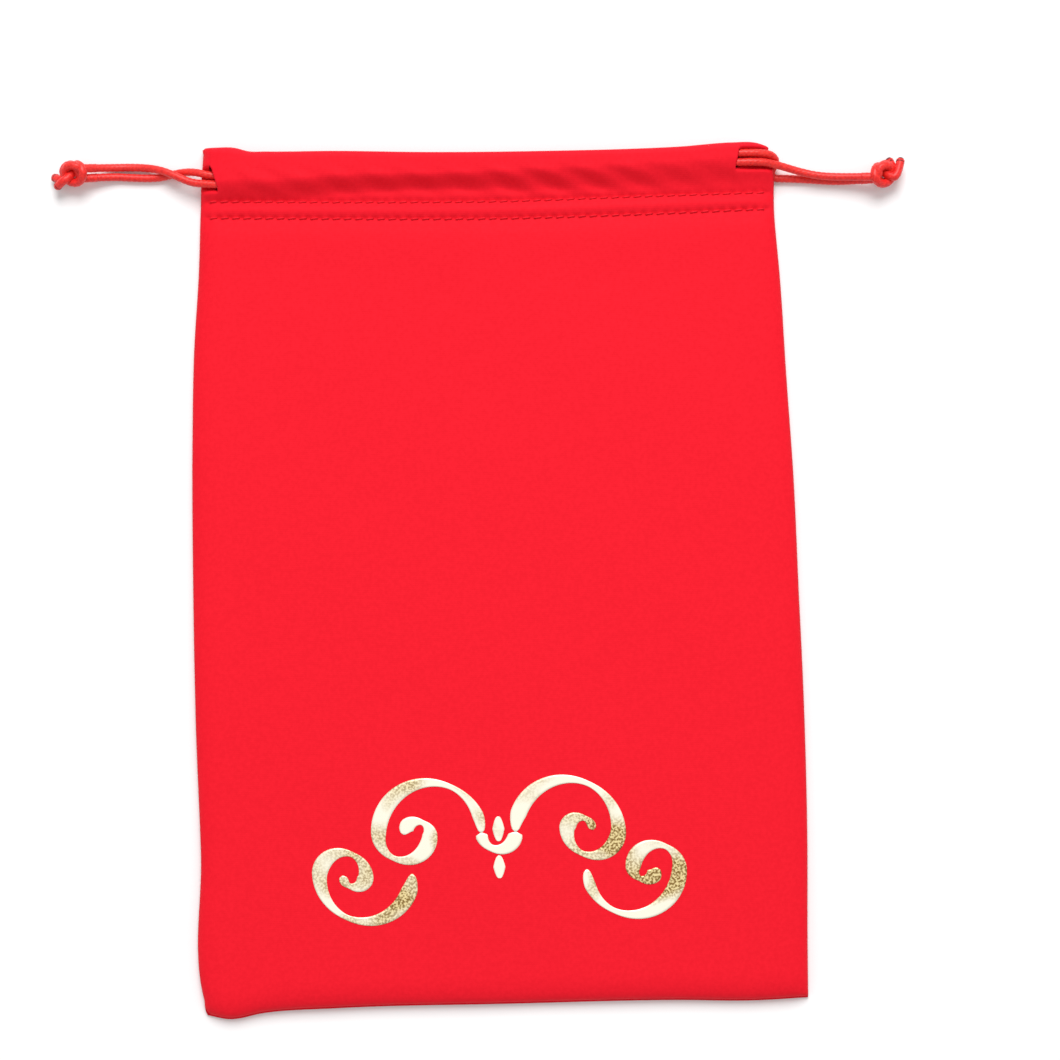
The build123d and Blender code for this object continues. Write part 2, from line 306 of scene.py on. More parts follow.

# %% [markdown]
# ## Cords
#
# A route is a few given points, and a smooth NURBS line runs along them. The cord is a
# tube along that line, with the herringbone relief of a fine braid modelled into it.

# %% A mesh from points
def new_piece(name, points, faces, material):
    """A smooth mesh object from points in millimetres."""
    mesh = bpy.data.meshes.new(name)
    mesh.from_pydata([tuple(p) for p in np.asarray(points) * MM], [], faces)
    mesh.materials.append(material)
    mesh.polygons.foreach_set("use_smooth", [True] * len(mesh.polygons))
    mesh.update()
    piece = bpy.data.objects.new(name, mesh)
    bpy.context.collection.objects.link(piece)
    return piece


# %% A smooth line along a route
def route_line(name, points, detail=48):
    """Points along the NURBS line of a route, in millimetres."""
    curve = bpy.data.curves.new(name, "CURVE")
    curve.dimensions = "3D"
    curve.resolution_u = detail
    spline = curve.splines.new("NURBS")
    spline.points.add(len(points) - 1)
    for control, point in zip(spline.points, points):
        control.co = (*point, 1)
    spline.order_u = 3
    spline.use_endpoint_u = True
    holder = bpy.data.objects.new(name, curve)
    bpy.context.collection.objects.link(holder)
    line = bpy.data.meshes.new_from_object(holder)
    found = np.array([v.co for v in line.vertices])
    bpy.data.meshes.remove(line)
    bpy.data.objects.remove(holder)
    bpy.data.curves.remove(curve)
    return found


# %% [markdown]
# ### A braided tube
#
# A rattail cord is braided, so its surface is a herringbone of small strands. A bump would show it
# only in the shading. Here each ring of the tube is pushed in and out instead, so the relief is in
# the outline too.

# %% Directions along a line
def side_frames(line):
    """Two directions square to the line at each point, carried along without twisting."""
    along = np.gradient(line, axis=0)
    along /= np.linalg.norm(along, axis=1)[:, None]
    across = np.cross(along[0], (0, 0, 1))
    across /= np.linalg.norm(across)
    first = []
    for direction in along:
        across = across - direction * np.dot(across, direction)
        across /= np.linalg.norm(across)
        first.append(across)
    first = np.array(first)
    return first, np.cross(along, first)


# %% Braid and tube
END_BULGE = 0.25        # how far an end swells out, as a share of its radius


def braid_relief(angle, distance, depth=0.1, lay=1.5):
    """Height of the braid: strands in both hands that cross like a herringbone."""
    right = np.abs(np.cos(2 * angle + math.pi * distance / lay))
    left = np.abs(np.cos(2 * angle - math.pi * distance / lay))
    over = np.cos(4 * angle) > 0
    return depth * (np.where(over, right, left) - 1)


def tube(name, line, diameter, material, around=20, braid=True, taper=None):
    """A closed tube along a line, with rounded ends."""
    first, second = side_frames(line)
    steps = np.linalg.norm(np.diff(line, axis=0), axis=1)
    distance = np.concatenate([[0], np.cumsum(steps)])
    radius = np.full(len(line), diameter / 2)
    if taper is not None:
        radius = radius * taper(distance / distance[-1])
    angle = np.linspace(0, 2 * math.pi, around, endpoint=False)
    angle_grid, distance_grid = np.meshgrid(angle, distance)
    rings = radius[:, None] + (braid_relief(angle_grid, distance_grid) if braid else 0)
    points = (
        line[:, None, :]
        + first[:, None, :] * (np.cos(angle_grid) * rings)[..., None]
        + second[:, None, :] * (np.sin(angle_grid) * rings)[..., None]
    ).reshape(-1, 3)
    faces = []
    for ring in range(len(line) - 1):
        low = ring * around
        for step in range(around):
            after = (step + 1) % around
            faces.append((low + step, low + after, low + around + after, low + around + step))
    ends = []
    for end, sign in ((0, -1), (len(line) - 1, 1)):
        outward = line[end] - line[end - sign]
        outward = outward / np.linalg.norm(outward)
        ends.append(line[end] + outward * radius[end] * END_BULGE)
    cap = len(points)
    points = np.vstack([points, ends])
    last = (len(line) - 1) * around
    for step in range(around):
        after = (step + 1) % around
        faces.append((cap, after, step))
        faces.append((cap + 1, last + step, last + after))
    return new_piece(name, points, faces, material)


# %% [markdown]
# Each cord is one length: out of its knot, into the casing, right round it and back to the same
# knot. The two tails that show are laid from the knot to the cord opening, and a loop inside the
# casing joins them.

# %% The tails
TAILS = {
    "left_cord_front_tail": [
        (-116.2, 122.1, 4.9), (-109.0, 122.5, 1.3), (-101.5, 122.4, 1.3), (-95.5, 121.4, 3.2),
        (-90.5, 119.2, 4.6), (-86.0, 117.0, 4.9), (-81.0, 116.5, 5.6), (-76.0, 116.0, 6.0),
    ],
    "left_cord_back_tail": [
        (-116.2, 119.4, 3.5), (-109.5, 119.9, 1.3), (-102.0, 119.2, 1.3), (-95.5, 119.1, 1.3),
        (-90.0, 120.4, 2.0), (-85.5, 120.4, 3.8), (-81.5, 119.2, 5.3), (-76.5, 118.6, 5.0),
    ],
    "right_cord_front_tail": [
        (112.0, 113.6, 5.4), (104.0, 113.9, 3.7), (97.0, 114.4, 3.7), (91.5, 115.8, 3.8),
        (86.0, 117.5, 4.8), (81.5, 118.6, 6.4), (77.0, 118.7, 7.1), (72.5, 118.7, 6.8),
        (67.0, 119.0, 6.2),
    ],
    "right_cord_back_tail": [
        (112.0, 113.1, 3.1), (103.3, 112.8, 1.3), (94.5, 113.7, 1.3), (87.5, 114.2, 1.3),
        (83.9, 114.3, 1.3), (83.3, 116.4, 1.4), (85.1, 118.8, 3.0), (83.6, 120.8, 5.2),
        (80.0, 121.3, 6.6), (75.5, 121.4, 7.0), (71.0, 121.4, 6.6), (66.0, 121.7, 6.0),
    ],
}
tails = {}
for name, points in TAILS.items():
    line = route_line(name, points)
    piece = tube(name, line, CORD, CORD_SATIN)
    length = np.linalg.norm(np.diff(line, axis=0), axis=1).sum()
    tails[name] = (piece, line, length)
    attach(piece, name.split("_")[0] + "_cord")
    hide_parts(name.split("_")[0] + "_drawcord")
    print(name, round(length, 1), "mm")

# %% [markdown]
# ### The loops
#
# Inside the casing a cord can't be seen, so its loop is a plain tube with fewer faces. It is a
# little thinner than the cord, to end inside the tails where it meets them.

# %% The loops inside the casing
LOOP_SHARE = 0.96       # of the cord's diameter
LOOP_DETAIL = 14
LOOP_SIDES = 12
LOOPS = {
    "left_cord_loop": [
        (-76.0, 116.0, 6.0), (-68.0, 116.6, 6.2), (-50.0, 118.4, 6.6), (-20.0, 118.6, 6.6),
        (20.0, 118.2, 6.6), (55.0, 117.2, 6.0), (69.0, 116.6, 4.9), (73.5, 117.0, 3.4),
        (69.0, 118.0, 2.0), (30.0, 118.2, 1.9), (-20.0, 118.2, 1.9), (-62.0, 118.4, 2.0),
        (-70.0, 118.8, 3.2), (-76.5, 118.6, 5.0),
    ],
    "right_cord_loop": [
        (67.0, 119.0, 6.2), (60.0, 120.2, 6.3), (30.0, 121.2, 6.6), (-10.0, 121.4, 6.6),
        (-50.0, 122.2, 6.4), (-68.0, 123.0, 5.2), (-73.0, 123.2, 3.5), (-68.0, 123.0, 2.0),
        (-30.0, 121.8, 1.9), (10.0, 121.4, 1.9), (54.0, 121.6, 1.9), (61.0, 121.8, 2.4),
        (64.5, 121.8, 4.2), (66.0, 121.7, 6.0),
    ],
}
for name, points in LOOPS.items():
    line = route_line(name, points, LOOP_DETAIL)
    loop = tube(name, line, CORD * LOOP_SHARE, CORD_SATIN, LOOP_SIDES, False)
    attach(loop, name.split("_")[0] + "_cord")
    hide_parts(name.split("_")[0] + "_drawcord")
print("loops", list(LOOPS))

# %% [markdown]
# ### Stopper knots
#
# Both ends of a cord are tied together in one overhand knot. Both strands follow the same route,
# the second one lying under and beside the first. Where each was cut there is a singed bead.

# %% The route of a knot
KNOT = [
    (1.6, 1.9, 2.0), (-0.8, 3.1, 1.5), (-3.6, 1.6, -0.4), (-2.4, -2.4, -1.2),
    (1.4, -3.2, 0.2), (3.5, -0.6, 2.5), (2.2, 3.1, 1.0), (0.2, 1.8, -1.6), (-1.8, -0.8, 0.4),
    (-4.2, -2.0, 1.2),
]
KNOT_SIZE = 0.88                        # pulls the route above tight
SECOND_STRAND = (-0.6, 0.5, -1.9)       # from the first strand to the second
OVERLAP = 2.5                           # of a strand with its tail
RUN_IN = 2.4                            # straight on into the knot, before the first turn
FLOOR_GAP = 0.1


def knot_route(side, middle, turn, flip, number, tip):
    """The knot's route for one strand, set down at middle and turned in plan."""
    cos, sin = math.cos(math.radians(turn)), math.sin(math.radians(turn))
    entry, after = TAILS[f"{side}_cord_{'back' if number else 'front'}_tail"][:2]
    inward = np.array(after) - entry
    inward /= np.linalg.norm(inward)
    route = [tuple(entry + inward * OVERLAP), entry, tuple(entry - inward * RUN_IN)]
    aside, along, down = SECOND_STRAND
    for x, y, z in KNOT:
        x = flip * (KNOT_SIZE * x + aside * number)
        y = KNOT_SIZE * y + along * number
        spot = (middle[0] + cos * x - sin * y, middle[1] + sin * x + cos * y)
        route.append((*spot, max(middle[2] + (z + down * number), CORD / 2 + FLOOR_GAP)))
    return route + [tip]


# %% Knots
STRAND_SHARE = 1.1      # a strand in the knot spreads a little
TIP_SHARE = 1.14
STRAND_DETAIL = 14
TIP = (-0.8, 0.1, 0.4, 0.6)     # rings of the bead, along from the end of the strand


def tip_taper(t):
    return 1 - 0.4 * t**2


def add_knot(side, middle, turn, flip, tips):
    """Both strands of a knot, each with its singed bead."""
    strands = []
    for number, tip in enumerate(tips):
        route = knot_route(side, middle, turn, flip, number, tip)
        line = route_line(f"{side}_knot_route", route, STRAND_DETAIL)
        strands.append(tube(f"{side}_knot_strand_{number + 1}", line, CORD * STRAND_SHARE, CORD_SATIN))
        outward = line[-1] - line[-6]
        outward /= np.linalg.norm(outward)
        bead = line[-1] + np.outer(TIP, outward)
        tip_name = f"{side}_knot_tip_{number + 1}"
        strands.append(tube(tip_name, bead, CORD * TIP_SHARE, SINGED, braid=False, taper=tip_taper))
        length = np.linalg.norm(np.diff(line, axis=0), axis=1).sum()
        print(side, "knot, strand", number + 1, round(length, 1), "mm")
    for strand in strands:
        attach(strand, f"{side}_cord")
        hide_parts(f"{side}_knot")
    return strands


knots = {
    "left": add_knot("left", (-120.1, 120.6, 4.6), 8, 1, [(-125.4, 117.2, 3.4), (-126.4, 120.0, 1.7)]),
    "right": add_knot("right", (115.9, 114.2, 4.6), 10, -1, [(121.2, 118.4, 3.6), (117.9, 118.6, 2.4)]),
}

# %% [markdown]
# ## Cloth
#
# A panel is a grid of points. Its columns run up the cloth, and its rows are named by how far they
# are below the top fold, with the rows of the hem below nought. Smooth curves give the outline, and
# functions give the height of the cloth. The grid is then thickened, and cut down the middle into
# halves, because the two sides of the mouth draw in towards the middle separately.

# %% Curves of the outline
def through(points):
    """A smooth curve through a few given points, as a function."""
    xs, ys = np.array(points, float).T
    slopes = np.gradient(ys, xs)

    def value(x):
        x = np.clip(x, xs[0], xs[-1])
        i = np.clip(np.searchsorted(xs, x) - 1, 0, len(xs) - 2)
        run = xs[i + 1] - xs[i]
        t = (x - xs[i]) / run
        ends = (1 + 2 * t) * (1 - t) ** 2 * ys[i] + t * t * (3 - 2 * t) * ys[i + 1]
        return ends + run * t * (1 - t) * ((1 - t) * slopes[i] - t * slopes[i + 1])

    return value


LEFT_EDGE = through([(-127, 86), (-125.5, 87.8), (-121, 89.0), (-80, 88.8), (-40, 89.3),
                     (0, 89.0), (38, 88.2), (67, 86.9), (90, 84.9), (108, 83.9), (127, 82.4)])
RIGHT_EDGE = through([(-127, 88), (-108, 88.3), (-79, 89.0), (-38, 89.0), (-8, 88.4), (27, 87.7),
                      (56, 86.4), (86, 85.2), (103, 84.1), (118, 83.7), (127, 81.8)])
FOLD = through([(-84, 127.1), (-79, 127.1), (-73, 126.8), (-69, 125.7), (-64, 125.5), (-45, 125.1),
                (-16, 124.0), (13, 123.5), (57, 123.8), (72, 124.6), (79, 124.4), (83, 123.2)])
UPPER_ROW = through([(-84, 111.6), (-55, 110.7), (-25, 109.9), (4, 109.4), (40, 109.7), (84, 110)])
LOWER_ROW = through([(-84, 106.8), (-55, 105.9), (-25, 105.0), (4, 104.4), (40, 104.5), (85, 105.2)])
BOTTOM = through([(-89, -125.8), (-81.5, -127.4), (-72, -125.9), (-50, -125.0), (0, -125.0),
                  (50, -125.2), (72, -125.9), (88, -125.4)])


def edge(x, y):
    """Half width of the pouch on the side that x is on."""
    return np.where(x < 0, LEFT_EDGE(y), RIGHT_EDGE(y))


def height_up(x, below):
    """Y of a place on the cloth from how far it is below the fold."""
    fold, upper, lower, bottom = FOLD(x), UPPER_ROW(x), LOWER_ROW(x), BOTTOM(x)
    casing = fold + (upper - fold) * below / ROW_1
    between = upper + (lower - upper) * (below - ROW_1) / (ROW_2 - ROW_1)
    body = lower + (bottom - lower) * (below - ROW_2) / (LENGTH - ROW_2)
    return np.where(below < ROW_1, casing, np.where(below < ROW_2, between, body))


def below_at(x, y):
    """The same the other way round."""
    fold, upper, lower, bottom = FOLD(x), UPPER_ROW(x), LOWER_ROW(x), BOTTOM(x)
    casing = (fold - y) / (fold - upper) * ROW_1
    between = ROW_1 + (upper - y) / (upper - lower) * (ROW_2 - ROW_1)
    body = ROW_2 + (lower - y) / (lower - bottom) * (LENGTH - ROW_2)
    return np.where(y > upper, casing, np.where(y > lower, between, body))


# %% [markdown]
# ### Height of the cloth
#
# An empty pouch is plump only where cords and turned-in edges fill it. Its height could come from a
# cloth simulation, but a pouch that lies flat has little to settle, so functions give it: high at
# the casing, a drop to the stitches, then level cloth that rolls down to the seams.

# %% Smooth steps
def ease(x, low, high):
    """From 0 at low to 1 at high, with soft ends."""
    t = np.clip((x - low) / (high - low), 0, 1)
    return t * t * (3 - 2 * t)


def window(y, low, high, soft):
    """1 from low to high and 0 beyond, with soft edges."""
    return ease(y, low - soft, low + soft) * (1 - ease(y, high - soft, high + soft))


def roll(distance, width):
    """Rise of plump cloth away from a seam: steep at first, level after its width."""
    return (1 - (1 - np.clip(distance / width, 0, 1)) ** 2.5) ** 0.4


# %% Levels
DROP_PLACE = through([(-84, 12.6), (-70, 11.4), (-57, 10.8), (-45, 9.6), (-25, 8.7), (0, 8.4), (84, 8.8)])
DROP_RUN = through([(-84, 3.4), (-60, 3.2), (-35, 2.8), (-12, 2.6), (6, 3.2), (30, 3.8), (60, 4.6),
                    (84, 4.6)])
LEVEL = through([(10, 5.0), (12.5, 5.0), (ROW_1, 4.65), (16.8, 5.4), (ROW_2, 4.9), (24, 5.3),
                 (34, 5.2), (60, 5.2)])
CASING_TOP = 8.6        # height of the full casing
WOBBLE = 0.12           # height of the slow waves in the body of the cloth
SEAM_LEVEL = 1.3        # height of the side seams
LIFT_SOFT = 4


def seam_height(x, y):
    """The side seams lie low, and rise where the cords come out."""
    left = 1.6 * window(y, 113, 122, LIFT_SOFT)
    right = 2.2 * window(y, 112, 121, LIFT_SOFT)
    return SEAM_LEVEL + np.where(x < 0, left, right)


def open_level(x, y, below):
    """Height of the front away from its edges: the casing, the drop below it and the body."""
    wobble = WOBBLE * np.sin(x / 9 + y / 23) * np.sin(y / 17 - x / 31) * ease(below, 24, 40)
    slope = 1 - ease(below, DROP_PLACE(x) - DROP_RUN(x), DROP_PLACE(x) + DROP_RUN(x))
    return LEVEL(below) + (CASING_TOP - LEVEL(below)) * slope + wobble


# %% Dimples and puckers
DIMPLES = ((ROW_1, 0.42), (ROW_2, 0.62))        # each row and how deep its stitches pull
DIMPLE_WIDTH = 0.75
PUCKER = 0.34
PUCKER_PERIOD = 12.6


def dimple(x, below, place):
    """How far the cloth is pulled in along a row of stitches: most at each needle hole."""
    return np.exp(-((below - place) / DIMPLE_WIDTH) ** 2) * (0.5 + 0.5 * np.cos(2 * np.pi * x / PITCH))


def casing_pucker(x, below, side):
    """Slanting gathers in the casing, strongest just right of the middle."""
    strength = (0.5 + 0.6 * ease(x, -2, 6) - 0.75 * ease(x, 24, 66)) * ease(side, 4, 14)
    wave = np.cos(2 * np.pi * ((x - 9.8) - 1.6 * (below - 8.5)) / PUCKER_PERIOD)
    return PUCKER * strength * wave * window(below, 5.5, 12.5, 2)


# %% [markdown]
# ### Cord openings
#
# A cord leaves the casing through a slit in the front panel, beside the side seam. Outside the slit
# the cloth drops under the cord. The step between the two levels is left out of the mesh, which
# makes a real opening.

# %% Cord openings
SLIT_SOFT = 0.7         # width of the step at the lip


def opening_drop(out, y, z, slit, lean, ends, soft, floor, fall):
    """How far an opening lowers the cloth, at a distance out from the middle.

    slit is how far out the lip is and at which y, ends are its lowest and highest y. The cloth
    under the cord lies at floor, and falls by fall's rate, from fall's start, over fall's reach.
    """
    gap = ease(out - slit[0] - lean * (y - slit[1]), 0, SLIT_SOFT) * window(y, *ends, soft)
    rate, start, reach = fall
    lowered = np.minimum(z, floor - rate * np.clip(out - start, 0, reach))
    return (lowered - z) * gap


# %% Front and back
BODY_ROLL = 8           # width over which the cloth rises from a side seam
CASING_ROLL = 5         # more of it in the casing
BACK_LEVEL = 0.35       # underside of the back, above the floor


def front_height(x, y, below):
    """Outer surface of the front panel."""
    side, foot = edge(x, y) - np.abs(x), y - BOTTOM(x)
    level = open_level(x, y, below)
    for place, depth in DIMPLES:
        level = level - depth * dimple(x, below, place)
    level = level + casing_pucker(x, below, side)
    seam = seam_height(x, y)
    width = BODY_ROLL + CASING_ROLL * ease(-below, -22, -14)
    z = seam + (level - seam) * roll(side, width) * roll(foot, 9)
    left = opening_drop(-x, y, z, (79.0, 117.5), 0.3, (114.7, 120.9), 1.1, 3.6, (0.15, 79, 5))
    right = opening_drop(x, y, z, (73.2, 119.5), 0.25, (116.8, 122.5), 0.9, 5.6, (0.22, 73, 11))
    return z + left + right


def back_height(x, y, below):
    """Outer surface of the back panel: flat on the floor, and up to the seams at its edges."""
    side, foot = edge(x, y) - np.abs(x), y - BOTTOM(x)
    flat = 1 - roll(side, 5) * roll(foot, 5)
    z = BACK_LEVEL + (seam_height(x, y) - 1.2) * flat
    under = 2.75 * np.exp(-((((x - 84.6) / 3.4) ** 2 + ((y - 115.3) / 3.6) ** 2) ** 2))
    return np.maximum(z, under)


# %% [markdown]
# ### Panels
#
# The grid is fine at the casing, where the stitches and openings are, and coarse over the plain
# body. At the fold the outer cloth turns in through a round nose and goes down again as the hem.

# %% The grid of a panel
TURNS = (0, ROW_1, ROW_2, LENGTH)               # places below the fold
TURN_YS = (124.5, 110.3, 105, -125.2)           # about where those are, to find the edge beside them
HEM_NARROWER = 0.022


def spaced(*runs):
    """Numbers from run to run: each run is a start, an end and a step."""
    parts = [np.linspace(a, b, max(1, round((b - a) / step)), endpoint=False) for a, b, step in runs]
    return np.append(np.concatenate(parts), runs[-1][1])


def both_ways(half):
    """Columns to the left and to the right of the middle one."""
    return np.concatenate([-half[:0:-1], half])


def panel_grid(columns, rows, height, hem_height, nose_size, top_drop):
    """Points of a panel as (row, column, xyz)."""
    share, below = np.meshgrid(columns / columns[-1], rows)
    out = np.abs(below)
    x = share * edge(share, np.interp(out, TURNS, TURN_YS))
    inside = below < 0
    x = np.where(inside, x * (1 - HEM_NARROWER * ease(-below, 0, 4)), x)
    y = height_up(x, out) - top_drop
    outer = height(x, y, np.maximum(out, nose_size))
    hem = hem_height(x, y, out, outer)
    z = np.where(inside, hem, outer)
    turn = np.sqrt(1 - (1 - np.clip(out / nose_size, 0, 1)) ** 2)
    middle = (outer + hem) / 2
    z = np.where(out < nose_size, middle + (z - middle) * turn, z)
    return np.stack([x, y, z], axis=-1)


# %% The hems
HEM_LEVEL = 4.95        # the front hem in the casing
HEM_DROP = 0.3          # lower than that at the stitches
HEM_MEET = 1.45         # lower than that towards the side seams
LAYER_GAP = 0.9         # between the front and its hem
BACK_GAP = 0.45         # between the back and its hem, at the side seams


def front_hem(x, y, out, outer):
    """The front hem hangs clear of the back one, and meets it towards the side seams."""
    closed = 1 - ease(edge(x, y) - np.abs(x), 22, 42)
    return np.minimum(HEM_LEVEL - HEM_DROP * ease(out, 13, 16) - HEM_MEET * closed, outer - LAYER_GAP)


def back_hem(x, y, out, outer):
    """The back hem stands up from the back panel in the casing, and lies on it at the stitches."""
    side = edge(x, y) - np.abs(x)
    raised = 3.3 - 2.35 * ease(out, 12.8, 15.5)
    return outer + BACK_GAP + (raised - BACK_GAP) * roll(side, 12)


# %% Cloth from a grid
def thickened(name, points, facing, holes):
    """A sheet with its thickness, as vertices in millimetres, normals, faces and their middles."""
    index = np.arange(points.shape[0] * points.shape[1]).reshape(points.shape[:2])
    corners = np.stack([index[:-1, :-1], index[1:, :-1], index[1:, 1:], index[:-1, 1:]], axis=-1)
    faces = corners[~holes]
    if facing < 0:
        faces = faces[:, ::-1]
    sheet = new_piece(name, points.reshape(-1, 3), faces.tolist(), SATIN)
    thicken = sheet.modifiers.new("thickness", "SOLIDIFY")
    thicken.thickness = CLOTH * MM
    thicken.offset = -1
    bpy.context.view_layer.objects.active = sheet
    bpy.ops.object.modifier_apply(modifier=thicken.name)
    spots = np.array([v.co for v in sheet.data.vertices]) / MM
    normals = np.array([v.normal for v in sheet.data.vertices])
    shapes = [tuple(p.vertices) for p in sheet.data.polygons]
    middles = np.array([p.center[0] for p in sheet.data.polygons])
    bpy.data.objects.remove(sheet)
    return spots, normals, shapes, middles


def add_panel(name, points, facing, holes):
    """The cloth of one panel, as a left and a right half that meet in the middle."""
    spots, normals, shapes, middles = thickened(name, points, facing, holes)
    tall, wide = points.shape[:2]
    inner = tall * wide
    cut = np.arange(inner).reshape(tall, wide)[:, wide // 2][::facing].tolist()
    halves = []
    for side, chosen in (("left", middles < 0), ("right", middles >= 0)):
        picked = [shape for shape, use in zip(shapes, chosen) if use]
        for a, b in zip(cut, cut[1:]):
            closing = (a, b, b + inner, a + inner)
            picked.append(closing if side == "left" else closing[::-1])
        used = sorted({v for shape in picked for v in shape})
        place = {v: i for i, v in enumerate(used)}
        half = new_piece(
            f"{name}_{side}", spots[used], [tuple(place[v] for v in shape) for shape in picked], SATIN
        )
        half.data.normals_split_custom_set_from_vertices([tuple(normals[v]) for v in used])
        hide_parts(name)
        halves.append(half)
        print(half.name, len(half.data.polygons), "faces")
    return halves


# %% The front panel
FRONT_NOSE = 1.8
LIP_RISE = 0.8          # only the lip of a cord opening is steeper than this from column to column
OPENING_ZONE = (72, 81)         # how far out the lips are

columns = both_ways(spaced((0, 70, 0.65), (70, 83.5, 0.35)))
rows = spaced((-HEM, -1.8, 1.3), (-1.8, 1.8, 0.36), (1.8, 26, 0.45), (26, 240, 3.2), (240, LENGTH, 0.6))
front = panel_grid(columns, rows, front_height, front_hem, FRONT_NOSE, 0)
rise = np.abs(np.diff(front[..., 2], axis=1))
steep = np.maximum(rise[:-1], rise[1:]) > LIP_RISE
in_casing = ((rows[:-1] > FRONT_NOSE) & (rows[:-1] < ROW_1))[:, None]
far_out = np.abs(front[:-1, :-1, 0])
openings = steep & in_casing & (far_out > OPENING_ZONE[0]) & (far_out < OPENING_ZONE[1])
front_halves = add_panel("front_panel", front, 1, openings)

# %% The back panel
BACK_NOSE = 1.6
BACK_LOWER = 0.5        # its fold is this much below the front's

columns = both_ways(spaced((0, 78, 1.3), (78, 83.5, 0.5)))
rows = spaced((-HEM, -1.6, 1.6), (-1.6, 1.6, 0.4), (1.6, 26, 0.9), (26, 238, 5), (238, LENGTH, 0.9))
back = panel_grid(columns, rows, back_height, back_hem, BACK_NOSE, BACK_LOWER)
no_holes = np.zeros((len(rows) - 1, len(columns) - 1), bool)
back_halves = add_panel("back_panel", back, -1, no_holes)

# %% [markdown]
# ## Stitches
#
# Lockstitch shows as short threads that dive into the cloth at both ends. Each is a small capsule
# bent over the cloth, set a few degrees askew as a sewing machine leaves it. A row is one mesh for
# each half of the pouch.

# %% A row of stitches
THREAD_RADIUS = 0.23
STITCH = 2.55
STITCH_RINGS = 7
STITCH_SIDES = 7
STITCH_END = 0.02       # radius at the very ends
STITCH_RISE = 0.1       # of the middle of a stitch above the cloth
STITCH_DIVE = 0.3       # of its ends below that
SEAM_DEPTH = 0.45       # how far the thread in a seam lies below the edge of the cloth
SIDES = (("left", -1), ("right", 1))


def stitch_row(name, places, askew, node, up=1):
    """One stitch at each place: x, y, z and its heading in degrees; up is -1 under the pouch."""
    along = np.linspace(-1, 1, STITCH_RINGS)
    radius = THREAD_RADIUS * (1 - along**4) ** 0.5 + STITCH_END
    around = np.arange(STITCH_SIDES) * 2 * math.pi / STITCH_SIDES
    points, faces = [], []
    for x, y, z, heading in places:
        turn = math.radians(heading + askew)
        forward = np.array([math.cos(turn), math.sin(turn), 0])
        across = np.array([-math.sin(turn), math.cos(turn), 0])
        first = len(points)
        for t, r in zip(along, radius):
            bow = up * (STITCH_RISE - STITCH_DIVE * t**4)
            middle = np.array([x, y, z + bow]) + forward * t * STITCH / 2
            for angle in around:
                sideways, upward = r * math.cos(angle), r * math.sin(angle)
                points.append(middle + across * sideways + np.array([0, 0, upward]))
        for ring in range(STITCH_RINGS - 1):
            low = first + ring * STITCH_SIDES
            for step in range(STITCH_SIDES):
                after = (step + 1) % STITCH_SIDES
                high = low + STITCH_SIDES
                faces.append((low + step, high + step, high + after, low + after))
        last = first + (STITCH_RINGS - 1) * STITCH_SIDES
        faces.append(tuple(range(first, first + STITCH_SIDES)))
        faces.append(tuple(range(last + STITCH_SIDES - 1, last - 1, -1)))
    piece = new_piece(name, points, faces, THREAD)
    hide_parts(node)
    return piece


# %% The casing's two rows
ROW_STITCHES = 25       # on each half of a panel
ASKEW = 7.0             # degrees that a stitch is off the row


def casing_places(side, below, row, height):
    """Where a casing row's stitches sit on one half of a panel."""
    places = []
    for number in range(ROW_STITCHES):
        x = side * (number + 0.5) * PITCH
        y = float(row(x))
        z = float(height(np.float64(x), y, np.float64(below)))
        ahead = float(row(x + 1) - row(x))
        places.append((x, y, z, math.degrees(math.atan(ahead))))
    return places


casing_rows = []
for side, sign in SIDES:
    for label, below, row in (("upper", ROW_1, UPPER_ROW), ("lower", ROW_2, LOWER_ROW)):
        node = f"casing_{label}_stitching"
        for panel, height, up in (("front", front_height, 1), ("back", back_height, -1)):
            places = casing_places(sign, below, row, height)
            piece = stitch_row(f"{node}_{panel}_{side}", places, ASKEW, node, up)
            casing_rows.append((piece, side))
            print(piece.name, len(places), "stitches")

# %% [markdown]
# ### Seams
#
# The two panels are sewn together a little way in from their edges. The side seams stop below the
# cord openings, and two short stitches above each opening close the corner.

# %% Side seams and bottom seam
SEAM_INSET = 2.2
SIDE_SEAM = (-120.0, 109.0)
BOTTOM_SEAM = (-83.0, 83.1)
BOTTOM_SEAM_HEIGHT = 0.85
seams = []
for side, sign in SIDES:
    ys = np.arange(*SIDE_SEAM, PITCH)
    xs = sign * (edge(np.full(len(ys), sign), ys) - SEAM_INSET)
    leans = np.degrees(np.arctan2(np.gradient(ys), np.gradient(xs)))
    z = seam_height(xs, ys) - SEAM_DEPTH
    places = list(zip(xs, ys, z, leans))
    seams.append((stitch_row(f"{side}_side_seam", places, 0, f"{side}_side_seam_stitching"), side))
bottom_places = [
    (x, float(BOTTOM(x)) + SEAM_INSET, BOTTOM_SEAM_HEIGHT, 0) for x in np.arange(*BOTTOM_SEAM, PITCH)
]
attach(stitch_row("bottom_seam", bottom_places, 0, "bottom_seam_stitching"), "pouch")
print("seams", [piece.name for piece, side in seams], len(bottom_places), "stitches at the bottom")

# %% Corners above the cord openings
CORNERS = (("left", -1, 123.6), ("right", 1, 121.2))    # side, its sign and the y of its stitches
CORNER_INSETS = (1.9, 2.9)
corner_seams = []
for side, sign, y in CORNERS:
    places = []
    for inset in CORNER_INSETS:
        x = sign * (float(edge(sign, np.float64(y))) - inset)
        places.append((x, y, float(seam_height(x, y)) - SEAM_DEPTH, 90))
    piece = stitch_row(f"{side}_opening_seam", places, 0, f"{side}_opening_stitching")
    corner_seams.append((piece, side))

# %% [markdown]
# ## Foil ornament
#
# A flourish of two volutes to each side of a small middle drop. Each stroke follows half circles
# that shrink as they curl in, and swells and thins as a broad pen does. It lies on the cloth as a
# film, a little more than a tenth of a millimetre proud so that it stays whole.

